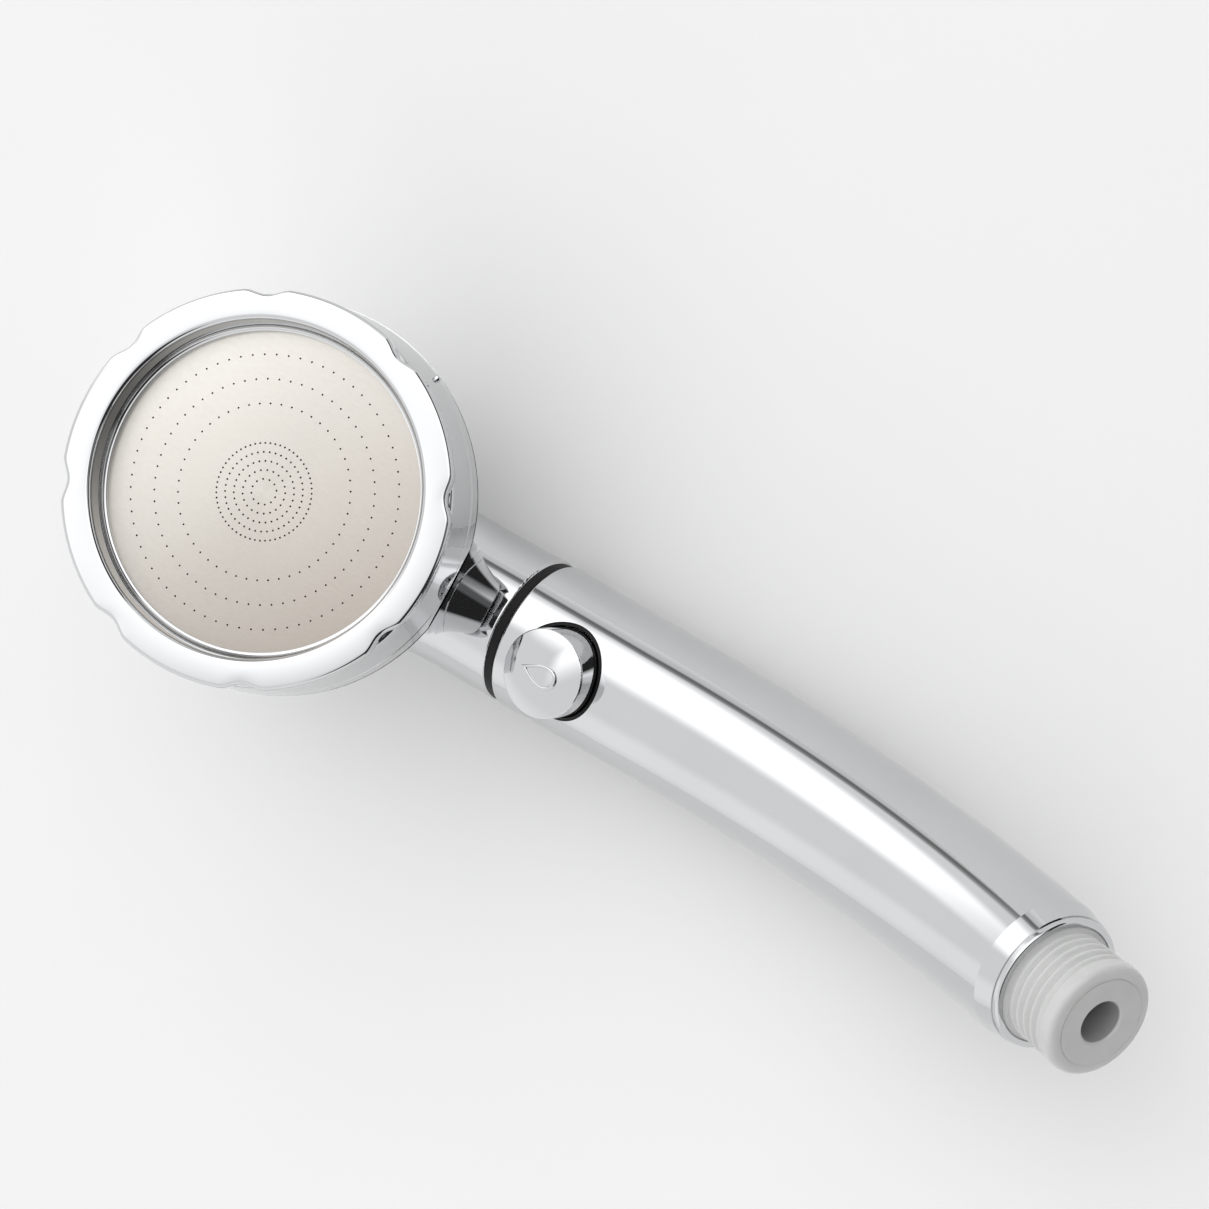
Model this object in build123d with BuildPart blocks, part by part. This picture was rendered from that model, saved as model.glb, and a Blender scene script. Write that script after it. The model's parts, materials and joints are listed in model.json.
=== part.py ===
"""Handheld shower head with a swivelling head, a turning spray face and a push-through stop valve.

The origin is the centre of the handle's inlet end, where the hose thread leaves the handle.
+X runs along the swivel axis from the head towards the inlet, +Z is the side that the spray
face looks to. The head is drawn in the pose of the photograph, turned a little on its swivel.
"""
import math
import os

from build123d import *

os.makedirs("parts", exist_ok=True)

# Handle: a round tube that tapers towards the inlet and bends towards the spray side
neck_radius = 15.4
handle_straight = 30.0
handle_bend_radius = 202.0
handle_bend_deg = 27.5
handle_tail = 2.0
handle_wall = 1.9
end_chamfer_length = 5.0
end_chamfer_drop = 1.0
end_lip_length = 1.3
end_lip_step = 0.25
end_lip_round = 0.45
mouth_edge_round = 0.45
handle_section_count = 11

# Inlet: parallel half inch pipe thread, drawn at its outer diameter
thread_radius = 10.4775
thread_length = 12.0
thread_end_bevel = 1.0
thread_relief = 0.8
nipple_shoulder = 0.8225
tube_radius = 7.4
tube_wall = 2.2
nipple_socket_depth = 4.0
insert_radius = 8.25
insert_length = 6.0
insert_hole_radius = 3.9
insert_hole_bevel = 0.4

# Swivel between the handle and the head
swivel_ring_width = 1.8
swivel_ring_inset = 0.35
spigot_radius = 8.5
spigot_end_margin = 1.05
spigot_bore_radius = 4.2
spigot_flange_length = 3.0
spigot_flange_inset = 0.55
spigot_seal_places = (3.6, 8.2)
spigot_clip_width = 1.0
spigot_clip_height = 1.7
spigot_clip_depth = 0.8
spigot_clip_mouth = 7.0
sleeve_length = 11.5
seal_cord_radius = 0.56
seal_cord_sides = 6
seal_groove_extra = 0.12

# Stop valve: a spool that a push on either cap slides across the water way
button_place = 14.8
button_radius = 8.65
button_proud = 5.1
button_crown = 1.6
button_edge_round = 0.4
button_skirt_wall = 1.3
button_top_wall = 2.4
button_travel = 5.0
rear_button_sink = 1.5
rear_button_skirt = 2.4
button_boss_radius = 4.6
button_seal_gap = 0.25
button_seal_wall = 0.6
button_seal_sink = 0.15
valve_pocket_gap = 0.25
valve_pocket_floor = 6.5
valve_pocket_margin = 0.8
valve_channel_radius = 2.4
tube_socket_depth = 5.0
spool_radius = 5.52
spool_stem_radius = 3.0
spool_neck_radius = 2.0
spool_rear_land_length = 3.0
spool_land_lap = 0.2
spool_grip_length = 4.5

# Head: its reach from the swivel, the spray plate's height, the face's tilt and the head's turn
neck_reach = 8.3
plate_above = 37.0
face_tilt_deg = 17.25
head_turn_deg = -13.5
head_radius = 39.5
head_taper = 0.8
head_wall = 2.0
joint_depth = 13.5
joint_bevel = 0.4
joint_lip_length = 2.2
joint_lip_wall = 1.6
dome_depth = 11.0
dome_wall = 2.3
neck_straight = 13.5
neck_bend_radius = 34.0
neck_bend_deg = 78.0
neck_flare_width = 9.0
neck_flare_power = 2.5
neck_section_count = 6
neck_wall = 2.0
index_angle_deg = 63.5
index_depth = 9.0
index_radius = 0.7
index_stand = 0.4

# Selector inside the head
selector_top = 8.2
selector_thickness = 3.0
chamber_gasket_thickness = 0.6
selector_lift = 0.6
selector_port_place = 14.0
selector_port_radius = 3.6
selector_seal_radius = 6.6
selector_seal_wall = 1.5
selector_pocket_depth = 1.4
hub_radius = 5.0
hub_screw_radius = 2.2
hub_screw_head_radius = 3.8
hub_screw_head_height = 2.2
hub_washer_radius = 8.0
hub_washer_thickness = 1.0

# Turning face
bezel_inset = 0.2
bezel_face_width = 5.0
bezel_mouth_round = 1.1
bezel_mouth_draft = 0.5
bezel_rim_bottom = 4.0
bezel_front = 7.1
bezel_front_crown = 0.12
bezel_edge_round = 0.5
bezel_skirt_bottom = 4.6
bezel_skirt_wall = 0.9
scallop_count = 8
scallop_start_deg = 25.0
scallop_radius = 6.1
scallop_depth = 1.2
scallop_round = 1.8
plate_edge_gap = 0.7
plate_thickness = 0.6
spray_hole_radius = 0.24
spray_hole_sides = 4
inner_ring_radius = 2.49
inner_ring_pitch = 1.743
inner_ring_counts = (12, 21, 31, 41, 59)
inner_ring_starts_deg = (2.7, 7.0, -0.2, -3.9, 1.2)
outer_ring_radius = 17.12
outer_ring_pitch = 4.76
outer_ring_counts = (50, 60, 70)
outer_ring_starts_deg = (-0.8, 2.8, 0.2)
gasket_thickness = 1.2
gasket_show = 0.6
diffuser_thickness = 2.4
diffuser_rim_wall = 3.2
diffuser_wall_radius = 14.6
diffuser_wall = 1.4
diffuser_port_radius = 1.7
diffuser_inner_port_place = 11.3
diffuser_outer_port_place = 16.7
mode_step_deg = 45.0
face_seal_cord_radius = 0.9

# Clearances
swivel_gap = 0.15
running_gap = 0.08
seal_gap = 0.03
slide_gap = 0.1
assembly_gap = 0.1
face_gap = 0.4

# The handle's end fits round the nipple, and the turning face fits inside the head
plug_radius = thread_radius + nipple_shoulder
collar_radius = plug_radius + assembly_gap
handle_end_radius = collar_radius + assembly_gap + handle_wall
lip_radius = handle_end_radius - end_chamfer_drop
plate_along = -(head_radius + neck_reach)
head_front_radius = head_radius - head_taper
ring_bore_radius = head_front_radius - head_wall
bezel_skirt_radius = ring_bore_radius - face_gap
bezel_skirt_bore = bezel_skirt_radius - bezel_skirt_wall
diffuser_radius = bezel_skirt_bore - assembly_gap
plate_radius = diffuser_radius - plate_edge_gap
bezel_radius = head_front_radius - bezel_inset
bezel_front_bore = bezel_radius - bezel_face_width
bezel_mouth_radius = bezel_front_bore - bezel_mouth_round
bezel_opening_radius = bezel_mouth_radius - bezel_mouth_draft
gasket_bore = bezel_opening_radius - gasket_show

# Frame of the handle: the swivel's centre lies back along the bent handle from the origin
bend = math.radians(handle_bend_deg)
tail_length = handle_tail + end_chamfer_length
bend_length = handle_bend_radius * bend
swivel_x = -(handle_straight + handle_bend_radius * math.sin(bend) + tail_length * math.cos(bend))
swivel_z = -(handle_bend_radius * (1 - math.cos(bend)) + tail_length * math.sin(bend))
swivel_centre = Vector(swivel_x, 0, swivel_z)
along_dir = Vector(1, 0, 0)
up_dir = Vector(0, 0, 1)
tail_dir = Vector(math.cos(bend), 0, math.sin(bend))
handle_section = Plane(origin=swivel_centre, x_dir=along_dir, z_dir=(0, -1, 0))
swivel_axis = Axis(swivel_centre, along_dir)
tail_section = Plane(origin=(0, 0, 0), x_dir=tail_dir, z_dir=(0, -1, 0))
tail_axis = Axis((0, 0, 0), tail_dir)
button_centre = swivel_centre + along_dir * button_place
button_section = Plane(origin=button_centre, x_dir=along_dir, z_dir=(0, -1, 0))
button_axis = Axis(button_centre, up_dir)
button_plane = Plane(origin=button_centre, x_dir=along_dir, z_dir=up_dir)

# Frame of the head: turned about the swivel axis, then tilted towards the inlet
turn = math.radians(head_turn_deg)
tilt = math.radians(face_tilt_deg)
head_up = Vector(0, -math.sin(turn), math.cos(turn))
face_normal = along_dir * math.sin(tilt) + head_up * math.cos(tilt)
face_along = along_dir * math.cos(tilt) - head_up * math.sin(tilt)
plate_centre = swivel_centre + along_dir * plate_along + head_up * plate_above
head_section = Plane(origin=plate_centre, x_dir=face_along, z_dir=face_along.cross(face_normal))
head_axis = Axis(plate_centre, face_normal)


def face_plane(height):
    """Plane square to the face's axis, at a height above the spray plate's front."""
    return Plane(origin=plate_centre + face_normal * height, x_dir=face_along, z_dir=face_normal)


def neck_plane(back):
    """Plane square to the swivel axis, at a distance from the swivel's centre towards the head."""
    return Plane(origin=swivel_centre - along_dir * back, x_dir=head_up, z_dir=-along_dir)


def neck_bend_plane(share):
    """Plane square to the neck's centre line, at a share of the neck's bend."""
    angle = math.radians(neck_bend_deg) * share
    back = neck_straight + neck_bend_radius * math.sin(angle)
    rise = neck_bend_radius * (1 - math.cos(angle))
    heading = head_up * math.sin(angle) - along_dir * math.cos(angle)
    place = swivel_centre - along_dir * back + head_up * rise
    return Plane(origin=place, x_dir=along_dir.cross(head_up), z_dir=heading)


def neck_flare(share):
    """How much wider the neck is than at the swivel, at a share of the neck's bend."""
    return neck_flare_width * share**neck_flare_power


def handle_plane(along):
    """Plane square to the handle's centre line, at a distance from the swivel's centre."""
    if along <= handle_straight:
        place = swivel_centre + along_dir * along
        return Plane(origin=place, x_dir=(0, 1, 0), z_dir=along_dir)
    angle = min((along - handle_straight) / handle_bend_radius, bend)
    rest = max(along - handle_straight - bend_length, 0)
    heading = Vector(math.cos(angle), 0, math.sin(angle))
    ahead = handle_straight + handle_bend_radius * math.sin(angle)
    rise = handle_bend_radius * (1 - math.cos(angle))
    place = swivel_centre + along_dir * ahead + up_dir * rise + heading * rest
    return Plane(origin=place, x_dir=(0, 1, 0), z_dir=heading)


# Stations along the handle, from the swivel's face to the start of the end chamfer
handle_start = swivel_ring_width / 2 + swivel_gap
taper_end = handle_straight + bend_length + handle_tail
station_step = (taper_end - handle_start) / (handle_section_count - 1)
stations = [handle_start + station_step * index for index in range(handle_section_count)]


def handle_radius(along):
    """Outer radius of the handle at a distance from the swivel's centre."""
    return neck_radius + (handle_end_radius - neck_radius) * along / taper_end


# The stop valve takes its places from the handle's surface over it
button_surface = handle_radius(button_place)
button_stand = button_surface + button_proud
rear_button_stand = button_surface - rear_button_sink
button_seal_bore = button_radius + button_seal_gap
button_seal_radius = button_seal_bore + button_seal_wall
button_hole_radius = button_seal_radius + assembly_gap / 2
valve_pocket_radius = button_seal_radius + valve_pocket_gap
valve_rear_floor = rear_button_stand - rear_button_skirt - face_gap
flange_start = handle_start + spigot_flange_inset
valve_end_gap = flange_start + spigot_flange_length

# Handle shell: tapered bent tube with a chamfered inlet end and a hole through for the stop valve
with BuildPart() as handle_shell:
    for along in stations:
        with BuildSketch(handle_plane(along)):
            Circle(handle_radius(along))
    loft()
    with BuildSketch(tail_section):
        with BuildLine():
            Polyline(
                (-end_chamfer_length, 0),
                (-end_chamfer_length, handle_end_radius),
                (-end_lip_length, lip_radius + end_lip_step),
                (-end_lip_length, lip_radius),
                (-end_lip_round, lip_radius),
            )
            CenterArc((-end_lip_round, lip_radius - end_lip_round), end_lip_round, 90, -90)
            Polyline(
                (0, lip_radius - end_lip_round),
                (0, 0),
                (-end_chamfer_length, 0),
            )
        make_face()
    revolve(axis=tail_axis)
    mouth_edge = handle_shell.edges().group_by(Axis.X)[0].sort_by(SortBy.LENGTH)[-1]
    fillet(mouth_edge, mouth_edge_round)
    for along in stations:
        with BuildSketch(handle_plane(along)):
            Circle(handle_radius(along) - handle_wall)
    loft(mode=Mode.SUBTRACT)
    with BuildSketch(Plane(origin=(0, 0, 0), x_dir=(0, 1, 0), z_dir=tail_dir)):
        Circle(collar_radius)
    extrude(amount=-tail_length, mode=Mode.SUBTRACT)
    with BuildSketch(button_plane):
        Circle(button_hole_radius)
    extrude(amount=neck_radius, both=True, mode=Mode.SUBTRACT)
handle_shell.part.label = "handle_shell"
export_step(handle_shell.part, "parts/handle_shell.step")

# Inlet nipple: translucent, plugged into the handle's end, threaded outside and bored for the water
valve_start = valve_end_gap + assembly_gap
valve_length = handle_straight - valve_start - assembly_gap
valve_end = valve_start + valve_length
tube_bore_radius = tube_radius - tube_wall
tube_socket_radius = tube_radius + assembly_gap
insert_seat = thread_length - insert_length
nipple_socket_end = nipple_socket_depth - tail_length
with BuildPart() as inlet_nipple:
    with BuildSketch(tail_section):
        with BuildLine():
            Polyline(
                (-tail_length, tube_socket_radius),
                (-tail_length, plug_radius),
                (-thread_relief, plug_radius),
                (-thread_relief, thread_radius),
                (thread_length - thread_end_bevel, thread_radius),
                (thread_length, thread_radius - thread_end_bevel),
                (thread_length, insert_radius),
                (insert_seat, insert_radius),
                (insert_seat, tube_bore_radius),
                (nipple_socket_end, tube_bore_radius),
                (nipple_socket_end, tube_socket_radius),
                close=True,
            )
        make_face()
    revolve(axis=tail_axis)
inlet_nipple.part.label = "inlet_nipple"
export_step(inlet_nipple.part, "parts/inlet_nipple.step")

# Water tube: bent like the handle, plugged into the nipple at one end and the valve at the other
tube_start = valve_end - tube_socket_depth + assembly_gap
bend_centre = (handle_straight, handle_bend_radius)
bend_end = handle_straight + bend_length
with BuildPart() as water_tube:
    with BuildLine(handle_section) as bent_run:
        CenterArc(bend_centre, handle_bend_radius, start_angle=-90, arc_size=handle_bend_deg)
    with BuildSketch(handle_plane(handle_straight)):
        Circle(tube_radius)
        Circle(tube_bore_radius, mode=Mode.SUBTRACT)
    sweep(path=bent_run.line)
    with BuildSketch(handle_plane(tube_start)):
        Circle(tube_radius)
        Circle(tube_bore_radius, mode=Mode.SUBTRACT)
    extrude(amount=handle_straight - tube_start)
    with BuildSketch(handle_plane(bend_end)):
        Circle(tube_radius)
        Circle(tube_bore_radius, mode=Mode.SUBTRACT)
    extrude(amount=nipple_socket_depth - assembly_gap)
water_tube.part.label = "water_tube"
export_step(water_tube.part, "parts/water_tube.step")

# Flow insert: a ring flush with the inlet's end, with a small hole that limits the flow
insert_fit_radius = insert_radius - running_gap
with BuildPart() as flow_insert:
    with BuildSketch(tail_section):
        with BuildLine():
            Polyline(
                (insert_seat, insert_hole_radius),
                (insert_seat, insert_fit_radius),
                (thread_length, insert_fit_radius),
                (thread_length, insert_hole_radius + insert_hole_bevel),
                (thread_length - insert_hole_bevel, insert_hole_radius),
                close=True,
            )
        make_face()
    revolve(axis=tail_axis)
flow_insert.part.label = "flow_insert"
export_step(flow_insert.part, "parts/flow_insert.step")

# Valve body: plastic block in the handle with the spool's bore across it
valve_radius = handle_radius(valve_end) - handle_wall - assembly_gap
spool_bore_radius = spool_radius + running_gap
tube_seal_room = 2 * seal_cord_radius + 2 * seal_groove_extra
tube_seal_place = valve_end - tube_socket_depth / 2
with BuildPart() as valve_body:
    with BuildSketch(handle_plane(valve_start)):
        Circle(valve_radius)
    extrude(amount=valve_length)
    with BuildSketch(handle_plane(valve_end)):
        Circle(tube_socket_radius)
    extrude(amount=-tube_socket_depth, mode=Mode.SUBTRACT)
    with BuildSketch(handle_plane(tube_seal_place - tube_seal_room / 2)):
        Circle(tube_socket_radius + 2 * seal_cord_radius)
    extrude(amount=tube_seal_room, mode=Mode.SUBTRACT)
    with BuildSketch(handle_plane(valve_start)):
        Circle(valve_channel_radius)
    extrude(amount=valve_length, mode=Mode.SUBTRACT)
    with BuildSketch(button_plane):
        Circle(spool_bore_radius)
    extrude(amount=valve_radius, both=True, mode=Mode.SUBTRACT)
    with BuildSketch(button_plane.offset(valve_pocket_floor)):
        Circle(valve_pocket_radius)
    extrude(amount=valve_radius, mode=Mode.SUBTRACT)
    with BuildSketch(button_plane.offset(-valve_rear_floor)):
        Circle(valve_pocket_radius)
    extrude(amount=-valve_radius, mode=Mode.SUBTRACT)
valve_body.part.label = "valve_body"
export_step(valve_body.part, "parts/valve_body.step")

# Seal between the water tube and the valve body
tube_seal_cord_centre = tube_radius + seal_cord_radius
seal_cord_turn_deg = 180 / seal_cord_sides
with BuildPart() as tube_seal:
    with BuildSketch(handle_section):
        with Locations((tube_seal_place, tube_seal_cord_centre)):
            RegularPolygon(seal_cord_radius, seal_cord_sides, rotation=seal_cord_turn_deg)
    revolve(axis=swivel_axis)
tube_seal.part.label = "tube_seal"
export_step(tube_seal.part, "parts/tube_seal.step")

# Swivel spigot: fixed in the handle's mouth, it reaches into the neck and carries the water across
flange_radius = handle_radius(valve_end_gap) - handle_wall - assembly_gap
sleeve_end = swivel_ring_width / 2 + sleeve_length
clip_start = sleeve_end + swivel_gap
clip_end = clip_start + spigot_clip_width
spigot_reach = clip_end + spigot_end_margin
seal_groove_radius = spigot_radius + running_gap - seal_gap - 2 * seal_cord_radius
seal_half_groove = seal_cord_radius + seal_groove_extra
clip_floor_radius = spigot_radius - spigot_clip_depth
with BuildPart() as swivel_spigot:
    with BuildSketch(handle_section):
        with BuildLine():
            Polyline(
                (valve_end_gap, spigot_bore_radius),
                (valve_end_gap, flange_radius),
                (flange_start, flange_radius),
                (flange_start, spigot_radius),
                (-spigot_reach, spigot_radius),
                (-spigot_reach, spigot_bore_radius),
                close=True,
            )
        make_face()
        for place in spigot_seal_places:
            with Locations((-place, seal_groove_radius)):
                Rectangle(
                    2 * seal_half_groove,
                    2 * seal_cord_radius,
                    align=(Align.CENTER, Align.MIN),
                    mode=Mode.SUBTRACT,
                )
        with Locations((-clip_end - seal_groove_extra, clip_floor_radius)):
            Rectangle(
                spigot_clip_width + 2 * seal_groove_extra,
                2 * spigot_clip_depth,
                align=(Align.MIN, Align.MIN),
                mode=Mode.SUBTRACT,
            )
    revolve(axis=swivel_axis)
swivel_spigot.part.label = "swivel_spigot"
export_step(swivel_spigot.part, "parts/swivel_spigot.step")

# Two seal rings on the spigot
with BuildPart() as spigot_seal_outer:
    with BuildSketch(handle_section):
        with Locations((-spigot_seal_places[0], seal_groove_radius + seal_cord_radius)):
            RegularPolygon(seal_cord_radius, seal_cord_sides, rotation=seal_cord_turn_deg)
    revolve(axis=swivel_axis)
spigot_seal_outer.part.label = "spigot_seal_outer"
export_step(spigot_seal_outer.part, "parts/spigot_seal_outer.step")

with BuildPart() as spigot_seal_inner:
    with BuildSketch(handle_section):
        with Locations((-spigot_seal_places[1], seal_groove_radius + seal_cord_radius)):
            RegularPolygon(seal_cord_radius, seal_cord_sides, rotation=seal_cord_turn_deg)
    revolve(axis=swivel_axis)
spigot_seal_inner.part.label = "spigot_seal_inner"
export_step(spigot_seal_inner.part, "parts/spigot_seal_inner.step")

# Open spring clip behind the neck's sleeve, which keeps the head on the spigot
with BuildPart() as spigot_clip:
    with BuildSketch(handle_plane(-clip_start)):
        Circle(clip_floor_radius + spigot_clip_height)
        Circle(clip_floor_radius, mode=Mode.SUBTRACT)
        with Locations((0, -clip_floor_radius)):
            Rectangle(spigot_clip_mouth, 2 * clip_floor_radius, mode=Mode.SUBTRACT)
    extrude(amount=-spigot_clip_width)
spigot_clip.part.label = "spigot_clip"
export_step(spigot_clip.part, "parts/spigot_clip.step")

# Black rings that line the two holes of the stop valve, trimmed to the handle's round surface
seal_surface_radius = button_surface - button_seal_sink
with BuildPart() as button_seal_front:
    with BuildSketch(button_plane.offset(valve_pocket_floor + assembly_gap)):
        Circle(button_seal_radius)
        Circle(button_seal_bore, mode=Mode.SUBTRACT)
    extrude(amount=neck_radius)
    with BuildSketch(handle_plane(button_place)):
        Circle(seal_surface_radius)
    extrude(amount=2 * button_seal_radius, both=True, mode=Mode.INTERSECT)
button_seal_front.part.label = "button_seal_front"
export_step(button_seal_front.part, "parts/button_seal_front.step")

with BuildPart() as button_seal_rear:
    with BuildSketch(button_plane):
        Circle(button_seal_radius)
        Circle(button_seal_bore, mode=Mode.SUBTRACT)
    extrude(amount=-neck_radius)
    with BuildSketch(handle_plane(button_place)):
        Circle(seal_surface_radius)
        Circle(valve_radius + assembly_gap, mode=Mode.SUBTRACT)
    extrude(amount=2 * button_seal_radius, both=True, mode=Mode.INTERSECT)
button_seal_rear.part.label = "button_seal_rear"
export_step(button_seal_rear.part, "parts/button_seal_rear.step")

# Stop button: crowned cap on the spray side, hollow under its top, with a boss for the spool
stem_top = button_stand - button_top_wall
stem_fit_radius = spool_stem_radius + assembly_gap / 2
skirt_bottom = valve_pocket_floor + button_travel + valve_pocket_margin
skirt_inner_radius = button_radius - button_skirt_wall
crown_radius = (button_radius**2 + button_crown**2) / (2 * button_crown)
crown_centre = button_stand + button_crown - crown_radius
crown_start_deg = math.degrees(math.acos(button_radius / crown_radius))
with BuildPart() as stop_button:
    with BuildSketch(button_section) as stop_profile:
        with BuildLine():
            Polyline(
                (0, button_stand + button_crown),
                (0, stem_top),
                (stem_fit_radius, stem_top),
                (stem_fit_radius, stem_top - spool_grip_length),
                (button_boss_radius, stem_top - spool_grip_length),
                (button_boss_radius, stem_top),
                (skirt_inner_radius, stem_top),
                (skirt_inner_radius, skirt_bottom),
                (button_radius, skirt_bottom),
                (button_radius, button_stand),
            )
            CenterArc((0, crown_centre), crown_radius, crown_start_deg, 90 - crown_start_deg)
        make_face()
        stop_corner = stop_profile.vertices().sort_by_distance((button_radius, button_stand))[0]
        fillet(stop_corner, button_edge_round)
    revolve(axis=button_axis)
stop_button.part.label = "stop_button"
export_step(stop_button.part, "parts/stop_button.step")

# Rear cap on the other end of the spool: pushing it opens the water again
rear_stem_end = rear_button_stand - assembly_gap
rear_crown_centre = -(rear_button_stand + button_crown - crown_radius)
with BuildPart() as resume_button:
    with BuildSketch(button_section) as resume_profile:
        with BuildLine():
            Polyline(
                (0, -rear_button_stand - button_crown),
                (0, -rear_stem_end),
                (stem_fit_radius, -rear_stem_end),
                (stem_fit_radius, -rear_button_stand + rear_button_skirt),
                (button_radius, -rear_button_stand + rear_button_skirt),
                (button_radius, -rear_button_stand),
            )
            CenterArc((0, rear_crown_centre), crown_radius, -90, 90 - crown_start_deg)
        make_face()
        resume_corner = resume_profile.vertices().sort_by_distance((button_radius, -rear_button_stand))[0]
        fillet(resume_corner, button_edge_round)
    revolve(axis=button_axis)
resume_button.part.label = "resume_button"
export_step(resume_button.part, "parts/resume_button.step")

# Spool: two lands with a waist between them that lets the water pass while the button stands out
spool_land_start = valve_channel_radius + spool_land_lap
land_top = spool_land_start + button_travel
rear_land_end = spool_land_start + spool_rear_land_length
spool_groove_radius = spool_bore_radius - seal_gap - 2 * seal_cord_radius
upper_seal_height = land_top - button_travel / 3
lower_seal_height = -(spool_land_start + spool_rear_land_length / 2)
with BuildPart() as stop_spool:
    with BuildSketch(button_section):
        with BuildLine():
            Polyline(
                (0, stem_top - assembly_gap),
                (spool_stem_radius, stem_top - assembly_gap),
                (spool_stem_radius, land_top),
                (spool_radius, land_top),
                (spool_radius, spool_land_start),
                (spool_neck_radius, spool_land_start),
                (spool_neck_radius, -spool_land_start),
                (spool_radius, -spool_land_start),
                (spool_radius, -rear_land_end),
                (spool_stem_radius, -rear_land_end),
                (spool_stem_radius, -rear_stem_end + assembly_gap),
                (0, -rear_stem_end + assembly_gap),
                close=True,
            )
        make_face()
        for height in (upper_seal_height, lower_seal_height):
            with Locations((spool_groove_radius, height)):
                Rectangle(
                    2 * seal_cord_radius,
                    2 * seal_half_groove,
                    align=(Align.MIN, Align.CENTER),
                    mode=Mode.SUBTRACT,
                )
    revolve(axis=button_axis)
stop_spool.part.label = "stop_spool"
export_step(stop_spool.part, "parts/stop_spool.step")

# Seal rings on the spool's lands
with BuildPart() as spool_seal_upper:
    with BuildSketch(button_section):
        with Locations((spool_groove_radius + seal_cord_radius, upper_seal_height)):
            RegularPolygon(seal_cord_radius, seal_cord_sides)
    revolve(axis=button_axis)
spool_seal_upper.part.label = "spool_seal_upper"
export_step(spool_seal_upper.part, "parts/spool_seal_upper.step")

with BuildPart() as spool_seal_lower:
    with BuildSketch(button_section):
        with Locations((spool_groove_radius + seal_cord_radius, lower_seal_height)):
            RegularPolygon(seal_cord_radius, seal_cord_sides)
    revolve(axis=button_axis)
spool_seal_lower.part.label = "spool_seal_lower"
export_step(spool_seal_lower.part, "parts/spool_seal_lower.step")

# Back of the head: a shallow dome with the bent neck flaring into it, both hollow
neck_start = swivel_ring_width / 2
neck_shares = [index / (neck_section_count - 1) for index in range(neck_section_count)]
neck_bore_radius = neck_radius - neck_wall
dome_bore_radius = head_radius - dome_wall
dome_bore_depth = dome_depth - dome_wall
ring_top = bezel_rim_bottom - face_gap
with BuildPart() as head_shell:
    with BuildSketch(head_section):
        with BuildLine():
            EllipticalCenterArc((0, -joint_depth), head_radius, dome_depth, 270, arc_size=90)
            Polyline(
                (head_radius, -joint_depth),
                (0, -joint_depth),
                (0, -joint_depth - dome_depth),
            )
        make_face()
    revolve(axis=head_axis)
    for share in neck_shares:
        with BuildSketch(neck_bend_plane(share)):
            Circle(neck_radius + neck_flare(share))
    loft()
    with BuildSketch(neck_plane(neck_start)):
        Circle(neck_radius)
    extrude(amount=neck_straight - neck_start)
    neck_edge = head_shell.edges().group_by(Axis.X)[-1].sort_by(SortBy.LENGTH)[-1]
    fillet(neck_edge, mouth_edge_round)
    with BuildSketch(head_section):
        with BuildLine():
            Polyline(
                (0, -joint_depth),
                (head_radius, -joint_depth),
                (head_radius, -joint_depth + joint_bevel),
                (head_front_radius, ring_top - joint_bevel),
                (head_front_radius, bezel_front),
                (0, bezel_front),
                close=True,
            )
        make_face()
    revolve(axis=head_axis, mode=Mode.SUBTRACT)
    with BuildSketch(head_section):
        with BuildLine():
            EllipticalCenterArc((0, -joint_depth), dome_bore_radius, dome_bore_depth, 270, arc_size=90)
            Polyline(
                (dome_bore_radius, -joint_depth),
                (0, -joint_depth),
                (0, -joint_depth - dome_bore_depth),
            )
        make_face()
    revolve(axis=head_axis, mode=Mode.SUBTRACT)
    for share in neck_shares:
        with BuildSketch(neck_bend_plane(share)):
            Circle(neck_bore_radius + neck_flare(share))
    loft(mode=Mode.SUBTRACT)
    with BuildSketch(neck_plane(neck_start)):
        Circle(neck_bore_radius)
    extrude(amount=neck_straight - neck_start, mode=Mode.SUBTRACT)
head_shell.part.label = "head_shell"
export_step(head_shell.part, "parts/head_shell.step")

# Side wall of the head: a slightly tapered ring with a lip that enters the dome and a small index mark
lip_drop = joint_lip_length / dome_bore_depth
joint_lip_radius = dome_bore_radius * math.sqrt(1 - lip_drop**2) - assembly_gap
ledge_radius = joint_lip_radius - joint_lip_wall
selector_bottom = selector_top + selector_thickness
ledge_depth = selector_bottom + chamber_gasket_thickness
index_angle = math.radians(index_angle_deg)
face_across = face_normal.cross(face_along)
index_dir = face_along * math.cos(index_angle) + face_across * math.sin(index_angle)
index_base = plate_centre - face_normal * index_depth + index_dir * ring_bore_radius
with BuildPart() as head_ring:
    with BuildSketch(head_section):
        with BuildLine():
            Polyline(
                (ring_bore_radius, ring_top),
                (head_front_radius - joint_bevel, ring_top),
                (head_front_radius, ring_top - joint_bevel),
                (head_radius, -joint_depth + joint_bevel),
                (head_radius - joint_bevel, -joint_depth),
                (joint_lip_radius, -joint_depth),
                (joint_lip_radius, -joint_depth - joint_lip_length),
                (ledge_radius, -joint_depth - joint_lip_length),
                (ledge_radius, -ledge_depth),
                (ring_bore_radius, -ledge_depth),
                close=True,
            )
        make_face()
    revolve(axis=head_axis)
    with BuildSketch(Plane(origin=index_base, z_dir=index_dir)):
        Circle(index_radius)
    extrude(amount=head_radius + index_stand - ring_bore_radius)
head_ring.part.label = "head_ring"
export_step(head_ring.part, "parts/head_ring.step")

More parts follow.
